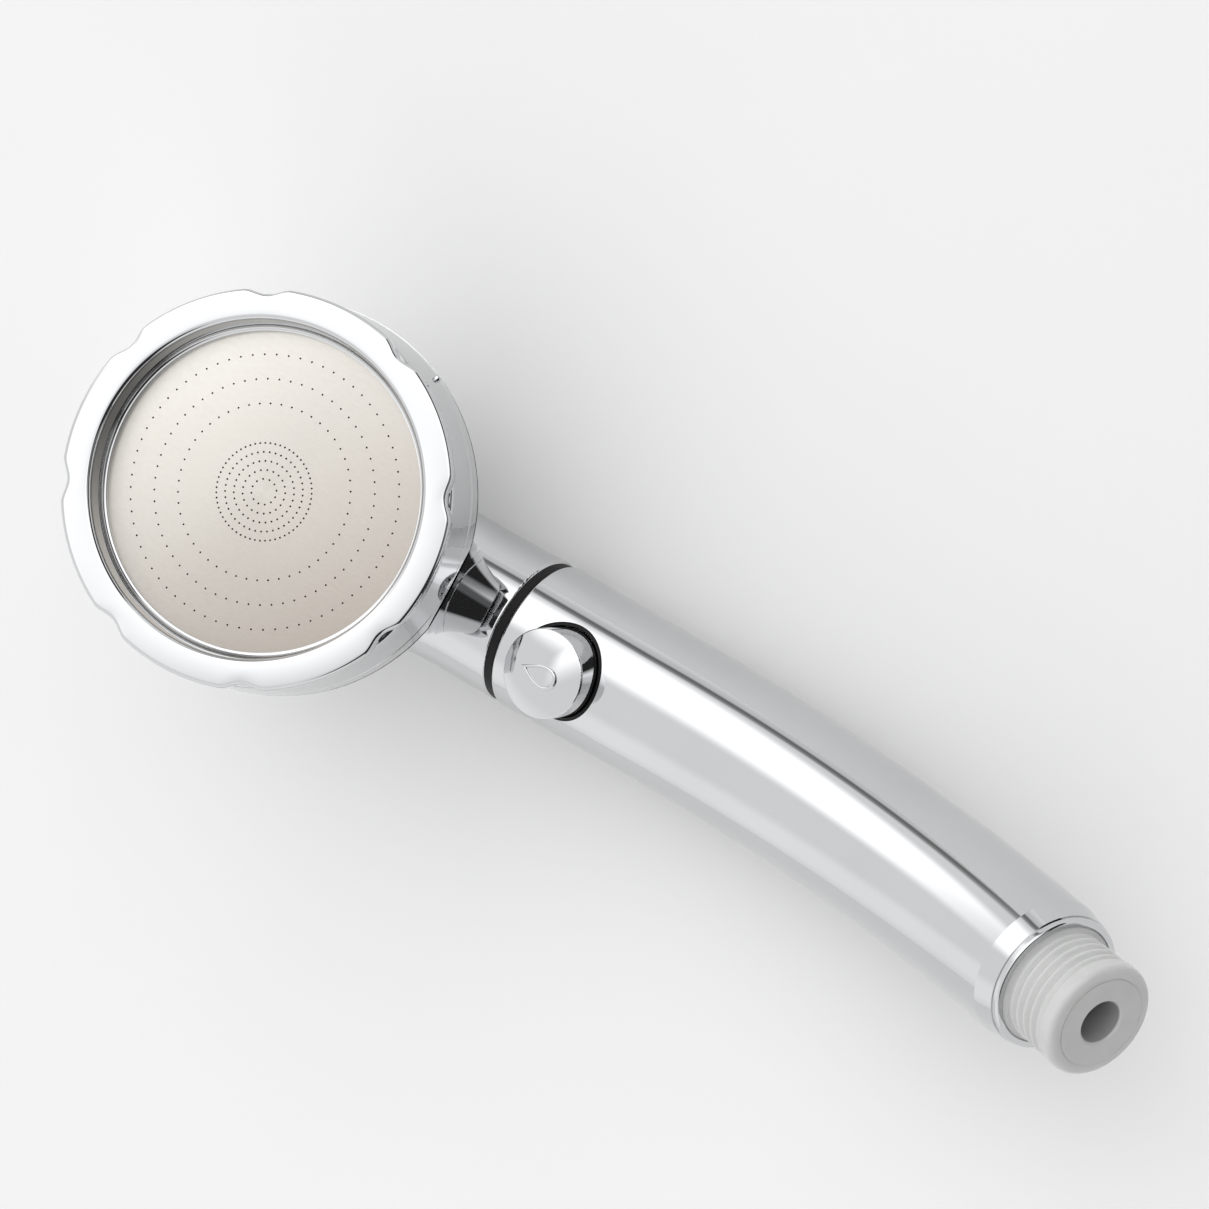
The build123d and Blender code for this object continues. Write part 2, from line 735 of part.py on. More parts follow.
# Sleeve in the neck that turns on the spigot
sleeve_bore_radius = spigot_radius + running_gap
with BuildPart() as neck_sleeve:
    with BuildSketch(neck_plane(neck_start)):
        Circle(neck_bore_radius - assembly_gap)
        Circle(sleeve_bore_radius, mode=Mode.SUBTRACT)
    extrude(amount=sleeve_length)
neck_sleeve.part.label = "neck_sleeve"
export_step(neck_sleeve.part, "parts/neck_sleeve.step")

# Black ring seen between the neck and the handle
with BuildPart() as swivel_ring:
    with BuildSketch(neck_plane(-neck_start)):
        Circle(neck_radius - swivel_ring_inset)
        Circle(spigot_radius + face_gap, mode=Mode.SUBTRACT)
    extrude(amount=swivel_ring_width)
swivel_ring.part.label = "swivel_ring"
export_step(swivel_ring.part, "parts/swivel_ring.step")

# Flat gasket between the side wall's ledge and the selector plate
with BuildPart() as chamber_gasket:
    with BuildSketch(face_plane(-ledge_depth)):
        Circle(ring_bore_radius - assembly_gap)
        Circle(ledge_radius, mode=Mode.SUBTRACT)
    extrude(amount=chamber_gasket_thickness)
chamber_gasket.part.label = "chamber_gasket"
export_step(chamber_gasket.part, "parts/chamber_gasket.step")

# Selector plate: fixed across the head, with one water port under a rubber cup and the hub's bore
seal_pocket_radius = selector_seal_radius + assembly_gap
with BuildPart() as selector_plate:
    with BuildSketch(face_plane(-selector_bottom)):
        Circle(ring_bore_radius - assembly_gap)
        Circle(hub_radius + running_gap, mode=Mode.SUBTRACT)
        with Locations((selector_port_place, 0)):
            Circle(selector_port_radius, mode=Mode.SUBTRACT)
    extrude(amount=selector_thickness)
    with BuildSketch(face_plane(-selector_top)):
        with Locations((selector_port_place, 0)):
            Circle(seal_pocket_radius)
    extrude(amount=-selector_pocket_depth, mode=Mode.SUBTRACT)
selector_plate.part.label = "selector_plate"
export_step(selector_plate.part, "parts/selector_plate.step")

# Rubber cup that seals the port against the turning diffuser
diffuser_bottom = selector_top - selector_lift
selector_seal_height = selector_pocket_depth + selector_lift - slide_gap
with BuildPart() as selector_seal:
    with BuildSketch(face_plane(-selector_top - selector_pocket_depth)):
        with Locations((selector_port_place, 0)):
            Circle(selector_seal_radius)
            Circle(selector_seal_radius - selector_seal_wall, mode=Mode.SUBTRACT)
    extrude(amount=selector_seal_height)
selector_seal.part.label = "selector_seal"
export_step(selector_seal.part, "parts/selector_seal.step")

# Diffuser: turning dish with an inner and an outer chamber, ports for three spray modes and a hub
diffuser_floor = diffuser_bottom - diffuser_thickness
face_seal_centre = ring_bore_radius - slide_gap - face_seal_cord_radius
face_seal_depth = diffuser_bottom - face_seal_cord_radius - seal_groove_extra
face_groove_radius = face_seal_centre - face_seal_cord_radius
hub_bottom = selector_bottom + slide_gap
screw_hole_radius = hub_screw_radius + assembly_gap / 2
diffuser_rim_radius = diffuser_radius - diffuser_rim_wall
with BuildPart() as diffuser:
    with BuildSketch(head_section):
        with BuildLine():
            Polyline(
                (screw_hole_radius, -hub_bottom),
                (hub_radius, -hub_bottom),
                (hub_radius, -diffuser_bottom),
                (diffuser_radius, -diffuser_bottom),
                (diffuser_radius, -plate_thickness),
                (diffuser_rim_radius, -plate_thickness),
                (diffuser_rim_radius, -diffuser_floor),
                (diffuser_wall_radius, -diffuser_floor),
                (diffuser_wall_radius, -plate_thickness - assembly_gap),
                (diffuser_wall_radius - diffuser_wall, -plate_thickness - assembly_gap),
                (diffuser_wall_radius - diffuser_wall, -diffuser_floor),
                (screw_hole_radius, -diffuser_floor),
                close=True,
            )
        make_face()
        with Locations((face_groove_radius, -face_seal_depth)):
            Rectangle(
                2 * face_seal_cord_radius,
                2 * face_seal_cord_radius + 2 * seal_groove_extra,
                align=(Align.MIN, Align.CENTER),
                mode=Mode.SUBTRACT,
            )
    revolve(axis=head_axis)
    with BuildSketch(face_plane(-diffuser_bottom)):
        with PolarLocations(diffuser_outer_port_place, 2, 0, -mode_step_deg, endpoint=True):
            Circle(diffuser_port_radius)
        with PolarLocations(diffuser_inner_port_place, 2, -mode_step_deg, -mode_step_deg, endpoint=True):
            Circle(diffuser_port_radius)
    extrude(amount=diffuser_thickness, mode=Mode.SUBTRACT)
diffuser.part.label = "diffuser"
export_step(diffuser.part, "parts/diffuser.step")

# Seal ring round the diffuser, against the side wall's bore
with BuildPart() as face_seal:
    with BuildSketch(head_section):
        with Locations((face_seal_centre, -face_seal_depth)):
            RegularPolygon(face_seal_cord_radius, seal_cord_sides)
    revolve(axis=head_axis)
face_seal.part.label = "face_seal"
export_step(face_seal.part, "parts/face_seal.step")

# Washer and screw that hold the turning face on the selector plate
with BuildPart() as hub_washer:
    with BuildSketch(face_plane(-hub_bottom - hub_washer_thickness)):
        Circle(hub_washer_radius)
        Circle(screw_hole_radius, mode=Mode.SUBTRACT)
    extrude(amount=hub_washer_thickness)
hub_washer.part.label = "hub_washer"
export_step(hub_washer.part, "parts/hub_washer.step")

screw_seat = hub_bottom + hub_washer_thickness
with BuildPart() as hub_screw:
    with BuildSketch(face_plane(-screw_seat - hub_screw_head_height)):
        Circle(hub_screw_head_radius)
    extrude(amount=hub_screw_head_height)
    with BuildSketch(face_plane(-screw_seat)):
        Circle(hub_screw_radius)
    extrude(amount=screw_seat - diffuser_floor)
hub_screw.part.label = "hub_screw"
export_step(hub_screw.part, "parts/hub_screw.step")

# Black gasket that the bezel presses on the spray plate's edge
with BuildPart() as plate_gasket:
    with BuildSketch(face_plane(0)):
        Circle(plate_radius)
        Circle(gasket_bore, mode=Mode.SUBTRACT)
    extrude(amount=gasket_thickness)
plate_gasket.part.label = "plate_gasket"
export_step(plate_gasket.part, "parts/plate_gasket.step")

# Spray plate: thin steel disc with close rings of fine holes in the middle and three wide rings
with BuildPart() as spray_plate:
    with BuildSketch(face_plane(-plate_thickness)):
        Circle(plate_radius)
        for index, count in enumerate(inner_ring_counts):
            ring_radius = inner_ring_radius + index * inner_ring_pitch
            with PolarLocations(ring_radius, count, inner_ring_starts_deg[index]):
                RegularPolygon(spray_hole_radius, spray_hole_sides, mode=Mode.SUBTRACT)
        for index, count in enumerate(outer_ring_counts):
            ring_radius = outer_ring_radius + index * outer_ring_pitch
            with PolarLocations(ring_radius, count, outer_ring_starts_deg[index]):
                RegularPolygon(spray_hole_radius, spray_hole_sides, mode=Mode.SUBTRACT)
    extrude(amount=plate_thickness)
spray_plate.part.label = "spray_plate"
export_step(spray_plate.part, "parts/spray_plate.step")

# Bezel: turning front ring with a faintly crowned front, a rounded mouth and eight finger scallops
scallop_place = bezel_radius - scallop_depth + scallop_radius
bezel_front_middle = bezel_radius - bezel_face_width / 2
bezel_rim = bezel_front - bezel_front_crown
mouth_round_centre = bezel_rim - bezel_mouth_round
with BuildPart() as bezel_form:
    with BuildSketch(face_plane(-bezel_skirt_bottom)) as bezel_outline:
        Circle(bezel_radius)
        with PolarLocations(scallop_place, scallop_count, scallop_start_deg):
            Circle(scallop_radius, mode=Mode.SUBTRACT)
        fillet(bezel_outline.vertices(), scallop_round)
    extrude(amount=bezel_skirt_bottom + bezel_front)
    front_face = bezel_form.faces().sort_by(head_axis)[-1]
    fillet(front_face.edges(), bezel_edge_round)
with BuildPart() as bezel_ring:
    with BuildSketch(head_section):
        with BuildLine():
            ThreePointArc(
                (bezel_radius, bezel_rim),
                (bezel_front_middle, bezel_front),
                (bezel_front_bore, bezel_rim),
            )
            CenterArc((bezel_front_bore, mouth_round_centre), bezel_mouth_round, 90, 90)
            Polyline(
                (bezel_mouth_radius, mouth_round_centre),
                (bezel_opening_radius, gasket_thickness),
                (bezel_skirt_bore, gasket_thickness),
                (bezel_skirt_bore, -bezel_skirt_bottom),
                (bezel_skirt_radius, -bezel_skirt_bottom),
                (bezel_skirt_radius, bezel_rim_bottom),
                (bezel_radius, bezel_rim_bottom),
                (bezel_radius, bezel_rim),
            )
        make_face()
    revolve(axis=head_axis)
    add(bezel_form.part, mode=Mode.INTERSECT)
bezel_ring.part.label = "bezel_ring"
export_step(bezel_ring.part, "parts/bezel_ring.step")
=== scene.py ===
"""Looks of the handheld shower head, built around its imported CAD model.

Objects are in metres and in the CAD model's frame. Turned profiles are in millimetres.
"""
import json
import math

import bpy
from mathutils import Matrix, Vector


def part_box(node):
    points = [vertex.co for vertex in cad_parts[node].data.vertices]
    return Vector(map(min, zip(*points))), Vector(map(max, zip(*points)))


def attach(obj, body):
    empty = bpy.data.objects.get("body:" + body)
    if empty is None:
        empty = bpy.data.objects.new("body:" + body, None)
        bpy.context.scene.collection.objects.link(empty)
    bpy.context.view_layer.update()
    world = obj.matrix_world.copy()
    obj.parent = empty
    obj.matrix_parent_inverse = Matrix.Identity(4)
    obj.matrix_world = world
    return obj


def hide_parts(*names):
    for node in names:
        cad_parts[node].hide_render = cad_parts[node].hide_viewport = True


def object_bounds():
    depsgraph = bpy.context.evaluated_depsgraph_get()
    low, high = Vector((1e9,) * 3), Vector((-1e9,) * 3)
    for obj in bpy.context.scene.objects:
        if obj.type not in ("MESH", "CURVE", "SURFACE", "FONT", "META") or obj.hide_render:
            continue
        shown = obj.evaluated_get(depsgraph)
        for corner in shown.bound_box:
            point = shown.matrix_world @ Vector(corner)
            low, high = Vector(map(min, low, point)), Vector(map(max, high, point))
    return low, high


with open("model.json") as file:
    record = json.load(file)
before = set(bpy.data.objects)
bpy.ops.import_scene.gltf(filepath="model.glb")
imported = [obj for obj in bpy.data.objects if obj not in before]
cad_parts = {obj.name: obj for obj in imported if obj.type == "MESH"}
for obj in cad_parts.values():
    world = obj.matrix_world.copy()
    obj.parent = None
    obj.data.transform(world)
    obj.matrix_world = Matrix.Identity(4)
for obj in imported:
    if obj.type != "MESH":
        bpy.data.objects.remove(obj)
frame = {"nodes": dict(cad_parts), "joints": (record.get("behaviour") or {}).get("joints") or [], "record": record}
nodes = frame["nodes"]
cad_low, cad_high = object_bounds()
joints = {j["name"]: j for j in frame["joints"]}
inlet = frame["record"]["mounts"][0]

MM = 0.001
SWIVEL = Vector(joints["head_swivel"]["pos_m"])
PLATE = Vector(joints["face_turn"]["pos_m"])
FACE_NORMAL = Vector(joints["face_turn"]["axis"]).normalized()
ACROSS = FACE_NORMAL.cross(Vector((1, 0, 0))).normalized()
ALONG = ACROSS.cross(FACE_NORMAL).normalized()
TAIL = Vector(inlet["axis"]).normalized()
QUARTER = math.pi / 2


# Node helpers

def new_material(name):
    mat = bpy.data.materials.new(name)
    mat.use_nodes = True
    tree = mat.node_tree
    return mat, tree, tree.nodes["Principled BSDF"]


def add(tree, kind, **values):
    node = tree.nodes.new(kind)
    for key, value in values.items():
        setattr(node, key, value)
    return node


def coords(tree, scale=(1, 1, 1), rotation=(0, 0, 0)):
    tex = add(tree, "ShaderNodeTexCoord")
    mapping = add(tree, "ShaderNodeMapping")
    mapping.inputs["Scale"].default_value = scale
    mapping.inputs["Rotation"].default_value = rotation
    tree.links.new(tex.outputs["Object"], mapping.inputs["Vector"])
    return mapping.outputs["Vector"]


def noise(tree, vector, scale, detail=3.0):
    node = add(tree, "ShaderNodeTexNoise")
    node.inputs["Scale"].default_value = scale
    node.inputs["Detail"].default_value = detail
    tree.links.new(vector, node.inputs["Vector"])
    return node.outputs["Fac"]


def ramp(tree, fac, low, high, start=0.3, end=0.7):
    node = add(tree, "ShaderNodeValToRGB")
    node.color_ramp.elements[0].position = start
    node.color_ramp.elements[1].position = end
    node.color_ramp.elements[0].color = (*low, 1)
    node.color_ramp.elements[1].color = (*high, 1)
    tree.links.new(fac, node.inputs["Fac"])
    return node.outputs["Color"]


def to_range(tree, fac, low, high):
    node = add(tree, "ShaderNodeMapRange")
    node.inputs["To Min"].default_value = low
    node.inputs["To Max"].default_value = high
    tree.links.new(fac, node.inputs["Value"])
    return node.outputs["Result"]


def smooth_in(tree, value, low, high):
    node = add(tree, "ShaderNodeMapRange", interpolation_type="SMOOTHSTEP")
    node.inputs["From Min"].default_value = low
    node.inputs["From Max"].default_value = high
    tree.links.new(value, node.inputs["Value"])
    return node.outputs["Result"]


def math_in(tree, op, *values):
    node = add(tree, "ShaderNodeMath", operation=op)
    for socket, value in zip(node.inputs, values):
        if isinstance(value, (int, float)):
            socket.default_value = value
        else:
            tree.links.new(value, socket)
    return node.outputs[0]


def bump(tree, shader, height, strength, distance):
    node = add(tree, "ShaderNodeBump")
    node.inputs["Strength"].default_value = strength
    node.inputs["Distance"].default_value = distance
    tree.links.new(height, node.inputs["Height"])
    tree.links.new(node.outputs["Normal"], shader.inputs["Normal"])


# Materials

def chrome_base(name):
    mat, tree, shader = new_material(name)
    where = coords(tree)
    cloud = noise(tree, where, 40.0)
    haze = noise(tree, where, 900.0, 2.0)
    tint = ramp(tree, cloud, (0.575, 0.58, 0.59), (0.60, 0.605, 0.612))
    shader.inputs["Metallic"].default_value = 1.0
    tree.links.new(tint, shader.inputs["Base Color"])
    tree.links.new(to_range(tree, haze, 0.03, 0.055), shader.inputs["Roughness"])
    return mat, tree, shader


BEND_RADIUS = 0.202
BEND_CENTRE = SWIVEL + Vector((0.030, 0, BEND_RADIUS))
TAPER = 2.0 / 129.0
NORMAL_MATCH = (0.993, 0.998)


def make_handle_chrome():
    """Chrome whose shading on the bent tube follows the true round surface, not the facets."""
    mat, tree, shader = chrome_base("handle_chrome")
    geo = add(tree, "ShaderNodeNewGeometry")
    split = add(tree, "ShaderNodeSeparateXYZ")
    tree.links.new(geo.outputs["Position"], split.inputs[0])
    x, y, z = split.outputs
    dx = math_in(tree, "MAXIMUM", math_in(tree, "SUBTRACT", x, BEND_CENTRE.x), 0.0)
    dz = math_in(tree, "SUBTRACT", z, BEND_CENTRE.z)
    squares = math_in(tree, "MULTIPLY_ADD", dx, dx, math_in(tree, "MULTIPLY", dz, dz))
    far = math_in(tree, "SQRT", squares)
    ux = math_in(tree, "DIVIDE", dx, far)
    uz = math_in(tree, "DIVIDE", dz, far)
    out = math_in(tree, "SUBTRACT", far, BEND_RADIUS)
    offset = add(tree, "ShaderNodeCombineXYZ")
    tree.links.new(math_in(tree, "MULTIPLY", ux, out), offset.inputs[0])
    tree.links.new(y, offset.inputs[1])
    tree.links.new(math_in(tree, "MULTIPLY", uz, out), offset.inputs[2])
    unit = add(tree, "ShaderNodeVectorMath", operation="NORMALIZE")
    tree.links.new(offset.outputs[0], unit.inputs[0])
    tangent = add(tree, "ShaderNodeCombineXYZ")
    tree.links.new(math_in(tree, "MULTIPLY", uz, -TAPER), tangent.inputs[0])
    tree.links.new(math_in(tree, "MULTIPLY", ux, TAPER), tangent.inputs[2])
    lean = add(tree, "ShaderNodeVectorMath", operation="ADD")
    tree.links.new(unit.outputs[0], lean.inputs[0])
    tree.links.new(tangent.outputs[0], lean.inputs[1])
    true_normal = add(tree, "ShaderNodeVectorMath", operation="NORMALIZE")
    tree.links.new(lean.outputs[0], true_normal.inputs[0])
    match = add(tree, "ShaderNodeVectorMath", operation="DOT_PRODUCT")
    tree.links.new(true_normal.outputs[0], match.inputs[0])
    tree.links.new(geo.outputs["Normal"], match.inputs[1])
    share = smooth_in(tree, match.outputs["Value"], *NORMAL_MATCH)
    mix = add(tree, "ShaderNodeMix", data_type="VECTOR")
    tree.links.new(share, mix.inputs["Factor"])
    tree.links.new(geo.outputs["Normal"], mix.inputs["A"])
    tree.links.new(true_normal.outputs[0], mix.inputs["B"])
    tree.links.new(mix.outputs["Result"], shader.inputs["Normal"])
    return mat


# Width over which the painted sheen runs across the plate, in metres
PAINTED_SHEEN_WIDTH = 0.066


def make_spray_steel():
    """Satin steel with a fine grain; its base colour carries a painted sheen, paler on the side that faces the
    light.
    """
    mat, tree, shader = new_material("spray_steel")
    lines = noise(tree, coords(tree, (60, 2600, 2600), (0, 0.3, 0.35)), 1.0)
    cloud = noise(tree, coords(tree), 28.0, 4.0)
    shader.inputs["Metallic"].default_value = 1.0
    shader.inputs["Anisotropic"].default_value = 0.35
    # Painted sheen: a colour gradient across the plate by world position, lighter towards the lit side
    geo = add(tree, "ShaderNodeNewGeometry")
    away = add(tree, "ShaderNodeVectorMath", operation="SUBTRACT")
    tree.links.new(geo.outputs["Position"], away.inputs[0])
    away.inputs[1].default_value = PLATE
    painted_sheen = add(tree, "ShaderNodeVectorMath", operation="DOT_PRODUCT")
    tree.links.new(away.outputs[0], painted_sheen.inputs[0])
    painted_sheen.inputs[1].default_value = (ALONG * 0.8 - ACROSS * 0.6) / PAINTED_SHEEN_WIDTH
    grain_and_painted_sheen = math_in(tree, "ADD", painted_sheen.outputs["Value"], 0.5)
    for fac, amount in ((cloud, 0.16), (lines, 0.10)):
        centred = math_in(tree, "SUBTRACT", grain_and_painted_sheen, amount / 2)
        grain_and_painted_sheen = math_in(tree, "MULTIPLY_ADD", fac, amount, centred)
    # Base colour: the painted sheen from pale to dark, mixed with random cloud tone and grain
    tint = ramp(tree, grain_and_painted_sheen, (0.665, 0.645, 0.603), (0.372, 0.336, 0.301), 0.0, 1.0)
    tree.links.new(tint, shader.inputs["Base Color"])
    tree.links.new(to_range(tree, lines, 0.34, 0.42), shader.inputs["Roughness"])
    bump(tree, shader, lines, 0.05, 0.00004)
    return mat


def make_steel():
    mat, tree, shader = new_material("steel")
    fac = noise(tree, coords(tree, (1, 1, 6)), 420.0, 4.0)
    tint = ramp(tree, fac, (0.50, 0.50, 0.49), (0.62, 0.62, 0.60))
    shader.inputs["Metallic"].default_value = 1.0
    tree.links.new(tint, shader.inputs["Base Color"])
    tree.links.new(to_range(tree, fac, 0.22, 0.36), shader.inputs["Roughness"])
    bump(tree, shader, fac, 0.05, 0.0001)
    return mat


def make_plastic(name, low, high, rough, scale=240.0, subsurface=0.0, grain=0.05, specular=0.5):
    mat, tree, shader = new_material(name)
    where = coords(tree)
    fac = noise(tree, where, scale, 4.0)
    fine = noise(tree, where, scale * 9, 2.0)
    tree.links.new(ramp(tree, fac, low, high), shader.inputs["Base Color"])
    tree.links.new(to_range(tree, fine, *rough), shader.inputs["Roughness"])
    shader.inputs["Specular IOR Level"].default_value = specular
    if subsurface:
        shader.inputs["Subsurface Weight"].default_value = subsurface
        shader.inputs["Subsurface Radius"].default_value = (0.0015, 0.0015, 0.0015)
        shader.inputs["Subsurface Scale"].default_value = 1.0
    if grain:
        bump(tree, shader, fine, grain, 0.0001)
    return mat


# Distances from the inlet's axis, in metres, between which the painted shade of the water way ends
BORE_EDGE = (0.00392, 0.00406)
BORE_SHADE = 0.62


def shade_bore(mat):
    """Paints shade into the plastic's colour inside its water way, where little light gets in."""
    tree = mat.node_tree
    shader = tree.nodes["Principled BSDF"]
    tint = shader.inputs["Base Color"].links[0].from_socket
    geo = add(tree, "ShaderNodeNewGeometry")
    turned = add(tree, "ShaderNodeVectorMath", operation="CROSS_PRODUCT")
    tree.links.new(geo.outputs["Position"], turned.inputs[0])
    turned.inputs[1].default_value = TAIL
    off_axis = add(tree, "ShaderNodeVectorMath", operation="LENGTH")
    tree.links.new(turned.outputs[0], off_axis.inputs[0])
    share = smooth_in(tree, off_axis.outputs["Value"], *BORE_EDGE)
    scaled = add(tree, "ShaderNodeVectorMath", operation="SCALE")
    tree.links.new(tint, scaled.inputs[0])
    tree.links.new(to_range(tree, share, BORE_SHADE, 1.0), scaled.inputs["Scale"])
    tree.links.new(scaled.outputs[0], shader.inputs["Base Color"])


chrome = chrome_base("chrome_plating")[0]
handle_chrome = make_handle_chrome()
spray_steel = make_spray_steel()
steel = make_steel()
rubber = make_plastic(
    "black_rubber", (0.004, 0.004, 0.004), (0.009, 0.009, 0.009), (0.45, 0.6), specular=0.2
)
milky = make_plastic(
    "clear_plastic", (0.50, 0.505, 0.50), (0.56, 0.565, 0.56), (0.2, 0.28),
    scale=60.0, subsurface=0.35, grain=0.0, specular=0.4,
)
grey = make_plastic(
    "grey_plastic", (0.49, 0.495, 0.49), (0.53, 0.535, 0.53), (0.42, 0.5), grain=0.02
)
# Painted shade inside the grey insert's water way
shade_bore(grey)
inner = make_plastic("inner_plastic", (0.66, 0.66, 0.64), (0.74, 0.74, 0.72), (0.4, 0.55))
SLOTS = {
    "chrome_plating": chrome,
    "spray_steel": spray_steel,
    "steel": steel,
    "black_rubber": rubber,
    "clear_plastic": milky,
    "grey_plastic": grey,
    "inner_plastic": inner,
}
slot_of = {row["node"]: row["material_slot"] for row in frame["record"]["subparts"]}


def dress(obj, mat):
    obj.data.materials.clear()
    obj.data.materials.append(mat)


for name, obj in nodes.items():
    dress(obj, handle_chrome if name == "handle_shell" else SLOTS[slot_of[name]])


# Mesh helpers

def mesh_object(name, verts, faces, mat, smooth_deg=30.0):
    mesh = bpy.data.meshes.new(name)
    mesh.from_pydata([tuple(v) for v in verts], [], faces)
    mesh.update()
    obj = bpy.data.objects.new(name, mesh)
    bpy.context.scene.collection.objects.link(obj)
    dress(obj, mat)
    mesh.shade_smooth()
    mesh.set_sharp_from_angle(angle=math.radians(smooth_deg))
    return obj


def loop_faces(rows, count):
    """Quads of a closed grid of rows, each a closed loop of count points."""
    faces = []
    for j in range(rows):
        k = (j + 1) % rows
        for i in range(count):
            n = (i + 1) % count
            faces.append((j * count + i, j * count + n, k * count + n, k * count + i))
    return faces


def turned_grid(name, origin, axis, helper, rows, count, mat, smooth_deg=30.0):
    """Mesh of a closed profile of rows (height, radius), a radius being a number or f(angle)."""
    side = helper.cross(axis).normalized()
    up = axis.cross(side).normalized()
    verts = []
    for height, radius in rows:
        for i in range(count):
            angle = 2 * math.pi * i / count
            r = radius(angle) if callable(radius) else radius
            outward = side * math.cos(angle) + up * math.sin(angle)
            verts.append(origin + (axis * height + outward * r) * MM)
    return mesh_object(name, verts, loop_faces(len(rows), count), mat, smooth_deg)


def step(value, low, high):
    t = min(1.0, max(0.0, (value - low) / (high - low)))
    return t * t * (3 - 2 * t)


def arc(centre_r, centre_h, radius, start_deg, end_deg, count):
    """Points of a round in a turned profile, as (height, radius)."""
    points = []
    for i in range(count + 1):
        t = math.radians(start_deg + (end_deg - start_deg) * i / count)
        points.append((centre_h + radius * math.sin(t), centre_r + radius * math.cos(t)))
    return points


# Threaded inlet: soft moulded ridges that stop at the mould's parting lines

THREAD_R = inlet["dims"]["r_mm"] - 0.03
PITCH = 1.8143
RIDGE_DEPTH = 0.62
RIDGES_FROM = (0.6, 1.6)
RIDGES_TO = (9.2, 8.2)
PARTING_ANGLE = math.radians(70)
PARTING_SINK = 0.18
ROOT_SINK = 0.12
WALL_START = 0.3
WALL_LENGTH = 10.3
END_ROUND_H = 1.36
END_ROUND_R = 1.5
BORE_R = 8.18
WATERWAY_R = 5.2


def ridge(height, angle):
    """Depth of the surface below the thread's outer radius."""
    phase = height / PITCH - angle / (2 * math.pi)
    wave = (0.5 + 0.5 * math.cos(2 * math.pi * phase)) ** 0.8
    flat = step(abs(math.sin(angle - PARTING_ANGLE)), 0.08, 0.22)
    cut = step(height, *RIDGES_FROM) * step(height, *RIDGES_TO)
    root = ROOT_SINK * step(height, 2.0, 0.4)
    return RIDGE_DEPTH * (1 - wave) * cut * flat + PARTING_SINK * (1 - flat) * cut + root


def thread_rows():
    rows = [(-7.0, 7.5), (-7.0, 11.12), (-0.35, 11.12), (-0.18, 11.05), (-0.06, 10.9)]
    rows += [(0.04, 10.68), (0.16, 10.5)]
    steps = 150
    for i in range(steps + 1):
        height = WALL_START + WALL_LENGTH * i / steps
        rows.append((height, lambda a, u=height: THREAD_R - ridge(u, a)))
    top = WALL_START + WALL_LENGTH
    for i in range(1, 13):
        t = QUARTER * i / 12
        sink = END_ROUND_R * (1 - math.cos(t))
        rows.append((top + END_ROUND_H * math.sin(t), THREAD_R - sink))
    rows += [(11.96, 8.30), (11.90, BORE_R), (6.0, BORE_R), (6.0, WATERWAY_R)]
    rows += [(-3.0, WATERWAY_R), (-3.0, 7.5)]
    return rows


thread = turned_grid(
    "inlet_thread", Vector((0, 0, 0)), TAIL, Vector((0, 1, 0)), thread_rows(), 192, milky, 40.0
)
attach(thread, "handle")
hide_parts("inlet_nipple")


# Smooth chrome lip round the handle's end, up to the inlet's shoulder

END_LIP_R = 12.42
END_LIP_ROUND = 0.47
END_LIP_STRAIGHT = (-1.27, -0.45)


def end_lip_rows():
    back, front = END_LIP_STRAIGHT
    rows = [(back, 12.1), (back, END_LIP_R)]
    rows += arc(END_LIP_R - END_LIP_ROUND, front, END_LIP_ROUND, 0, 90, 12)
    rows += [(0.02, 11.38), (0.0, 11.28), (-0.06, 11.18), (-0.16, 11.10), (-0.3, 11.0)]
    rows += [(-0.6, 11.0), (-0.6, 11.6)]
    return rows


end_lip = turned_grid(
    "end_lip", Vector((0, 0, 0)), TAIL, Vector((0, 1, 0)), end_lip_rows(), 256, chrome, 40.0
)
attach(end_lip, "handle")


# Side wall of the head: rounded front edge behind the bezel's scallops, fine groove round it

def wall_rows():
    rows = [(3.6, 36.7)]
    rows += arc(36.95, 2.6, 1.0, 90, 4, 8)
    rows += [(-9.0, 39.04), (-9.06, 38.98), (-9.2, 38.88), (-9.34, 39.01), (-9.4, 39.08)]
    rows += [(-13.0, 39.42), (-13.25, 39.40), (-13.42, 39.28), (-13.5, 39.05)]
    rows += [(-13.5, 36.0), (-15.7, 36.0), (-15.7, 34.4), (-11.8, 34.4), (-11.8, 36.7)]
    return rows[::-1]


wall = turned_grid("head_wall", PLATE, FACE_NORMAL, ACROSS, wall_rows(), 256, chrome, 35.0)
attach(wall, "head")
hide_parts("head_ring")


# Small index mark on the side wall

INDEX = math.radians(63.5)
INDEX_DIR = ALONG * math.cos(INDEX) + ACROSS * math.sin(INDEX)
INDEX_BASE = PLATE + (FACE_NORMAL * -9.0 + INDEX_DIR * 38.6) * MM
INDEX_ROWS = [
    (0.0, 0.68), (0.95, 0.68), (1.08, 0.62), (1.16, 0.52), (1.22, 0.34), (1.24, 0.01), (0.0, 0.01),
]
mark = turned_grid(
    "index_mark", INDEX_BASE, INDEX_DIR, FACE_NORMAL, INDEX_ROWS, 32, chrome, 35.0
)
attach(mark, "head")


# Bezel with smooth finger scallops, a rounded outer edge and a rounded mouth

SCALLOPS = 8
SCALLOP_START = math.radians(25.0)
SCALLOP_HALF = math.radians(6.9)
SCALLOP_DEPTH = 1.2
BEZEL_R = 38.49
EDGE_ROUND = 0.85
FRONT_H = 6.98
FRONT_CROWN = 0.20
MOUTH_ROUND = 1.1
MOUTH_R = 32.4
SKIRT_R = 36.3
SEAT_R = 35.39
SEAT_H = 1.21


